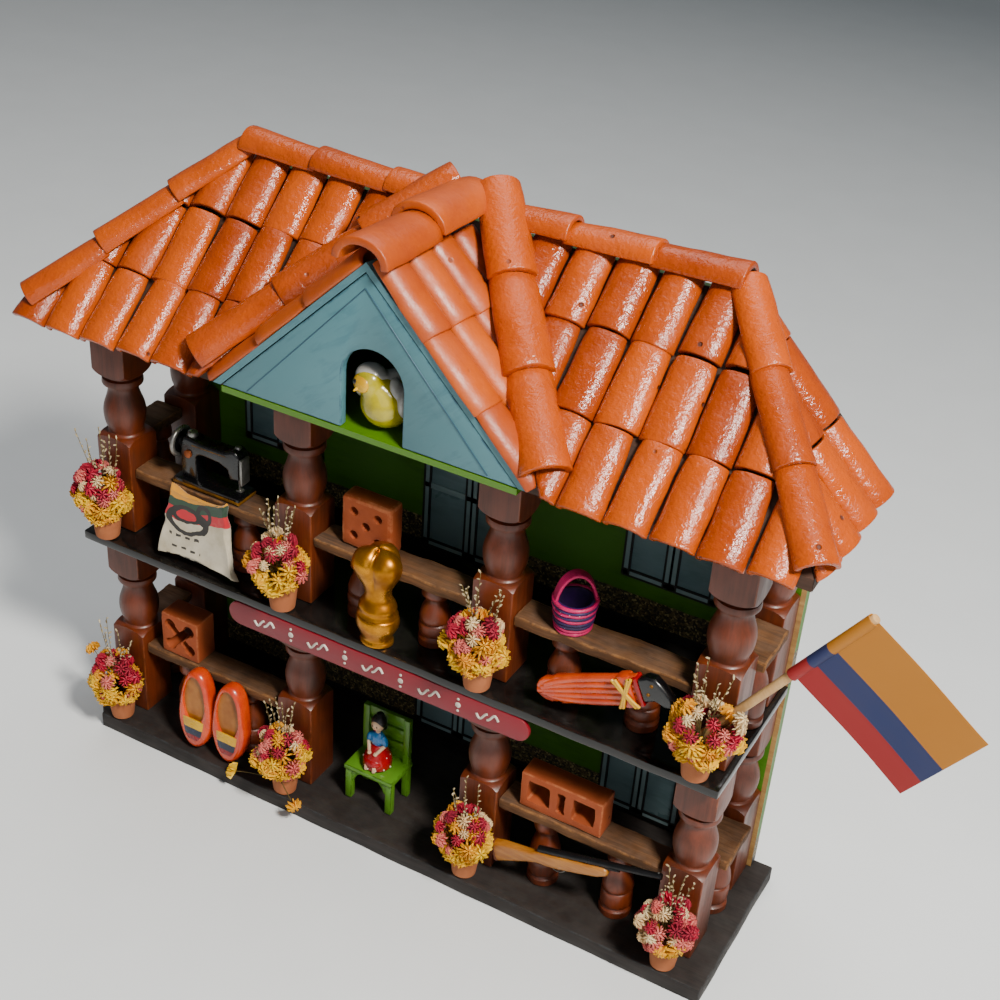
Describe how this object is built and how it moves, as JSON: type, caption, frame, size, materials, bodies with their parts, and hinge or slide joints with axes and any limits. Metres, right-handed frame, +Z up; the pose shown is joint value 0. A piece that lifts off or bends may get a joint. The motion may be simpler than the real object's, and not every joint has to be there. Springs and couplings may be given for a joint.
{
  "type": "miniature house",
  "caption": "Wooden model of a two-storey galleried country house with turned columns, a tiled hip roof, a gable niche with a bird, flower pots and a paper flag.",
  "frame": {"origin": "centre of the underside of the base board", "axes": "+X right along the front, +Y from the open front to the back wall, +Z up"},
  "size_m": [0.3251, 0.0709, 0.2265],
  "materials": {
    "dark_stain": "dark stained board, satin, chipped edges",
    "black_paint": "satin black paint",
    "wall_green": "brushed green paint",
    "gable_blue": "brushed grey-blue paint",
    "bare_board": "bare sawn board",
    "varnished_tile": "orange varnished half-round tile",
    "red_brown_varnish": "red-brown varnished turned wood",
    "sanded_plank": "brown sandy plank",
    "terracotta": "unglazed terracotta",
    "dried_flowers": "dried everlasting flowers",
    "sign_red": "red paint",
    "bird_yellow": "glossy painted figure",
    "black_enamel": "black gloss enamel",
    "sack_cloth": "unbleached cotton cloth",
    "brick_clay": "fired clay",
    "gold_paint": "gold paint",
    "pink_cord": "woven pink and purple cord",
    "orange_enamel": "orange gloss enamel",
    "chair_green": "lime green paint",
    "doll_blue": "painted figure",
    "gun_wood": "light varnished wood",
    "pale_wood": "plain birch stick",
    "flag_paper": "printed paper with three plain stripes"
  },
  "bodies": {
    "house": {"base_board": "dark_stain", "balcony_deck": "black_paint", "attic_floor": "wall_green", "back_wall": "wall_green", "gable_board": "gable_blue", "roof_board_front": "bare_board", "roof_board_right": "bare_board", "roof_board_left": "bare_board", "dormer_boards": "bare_board", "tiles_front_left": "varnished_tile", "tiles_front_right": "varnished_tile", "tiles_right": "varnished_tile", "tiles_left": "varnished_tile", "dormer_tiles": "varnished_tile", "roof_caps": "varnished_tile", "lower_column_1": "red_brown_varnish", "lower_flower_pot_1": "terracotta", "lower_column_2": "red_brown_varnish", "lower_flower_pot_2": "terracotta", "lower_column_3": "red_brown_varnish", "lower_flower_pot_3": "terracotta", "lower_column_4": "red_brown_varnish", "lower_flower_pot_4": "terracotta", "lower_back_column_left": "red_brown_varnish", "lower_rail_side_left": "sanded_plank", "lower_back_column_right": "red_brown_varnish", "lower_rail_side_right": "sanded_plank", "upper_column_1": "red_brown_varnish", "upper_flower_pot_1": "terracotta", "upper_column_2": "red_brown_varnish", "upper_flower_pot_2": "terracotta", "upper_column_3": "red_brown_varnish", "upper_flower_pot_3": "terracotta", "upper_column_4": "red_brown_varnish", "upper_flower_pot_4": "terracotta", "upper_back_column_left": "red_brown_varnish", "upper_rail_side_left": "sanded_plank", "upper_back_column_right": "red_brown_varnish", "upper_rail_side_right": "sanded_plank", "lower_rail_front_left": "sanded_plank", "lower_rail_front_right": "sanded_plank", "upper_rail_front_left": "sanded_plank", "upper_rail_front_middle": "sanded_plank", "upper_rail_front_right": "sanded_plank", "sign_board": "sign_red", "bird": "bird_yellow", "sewing_machine": "black_enamel", "coffee_sack": "sack_cloth", "five_hole_brick": "brick_clay", "cross_hole_brick": "brick_clay", "hollow_brick": "brick_clay", "gold_ornament": "gold_paint", "basket": "pink_cord", "sheathed_machete": "orange_enamel", "slippers": "orange_enamel", "chair": "chair_green", "doll": "doll_blue", "shotgun": "gun_wood"},
    "flag_pole": {"flag_pole": "pale_wood"},
    "flag": {"flag": "flag_paper"}
  },
  "joints": [
    {"name": "flag_pull", "type": "slide", "parent": "house", "child": "flag_pole", "axis": [0.5664, 0, 0.8241], "range_m": [0, 0.012]},
    {"name": "flag_turn", "type": "hinge", "parent": "flag_pole", "child": "flag", "pos_m": [0.118, -0.0254, 0.11233], "axis": [0.5664, 0, 0.8241], "range_deg": [-60, 60]}
  ]
}
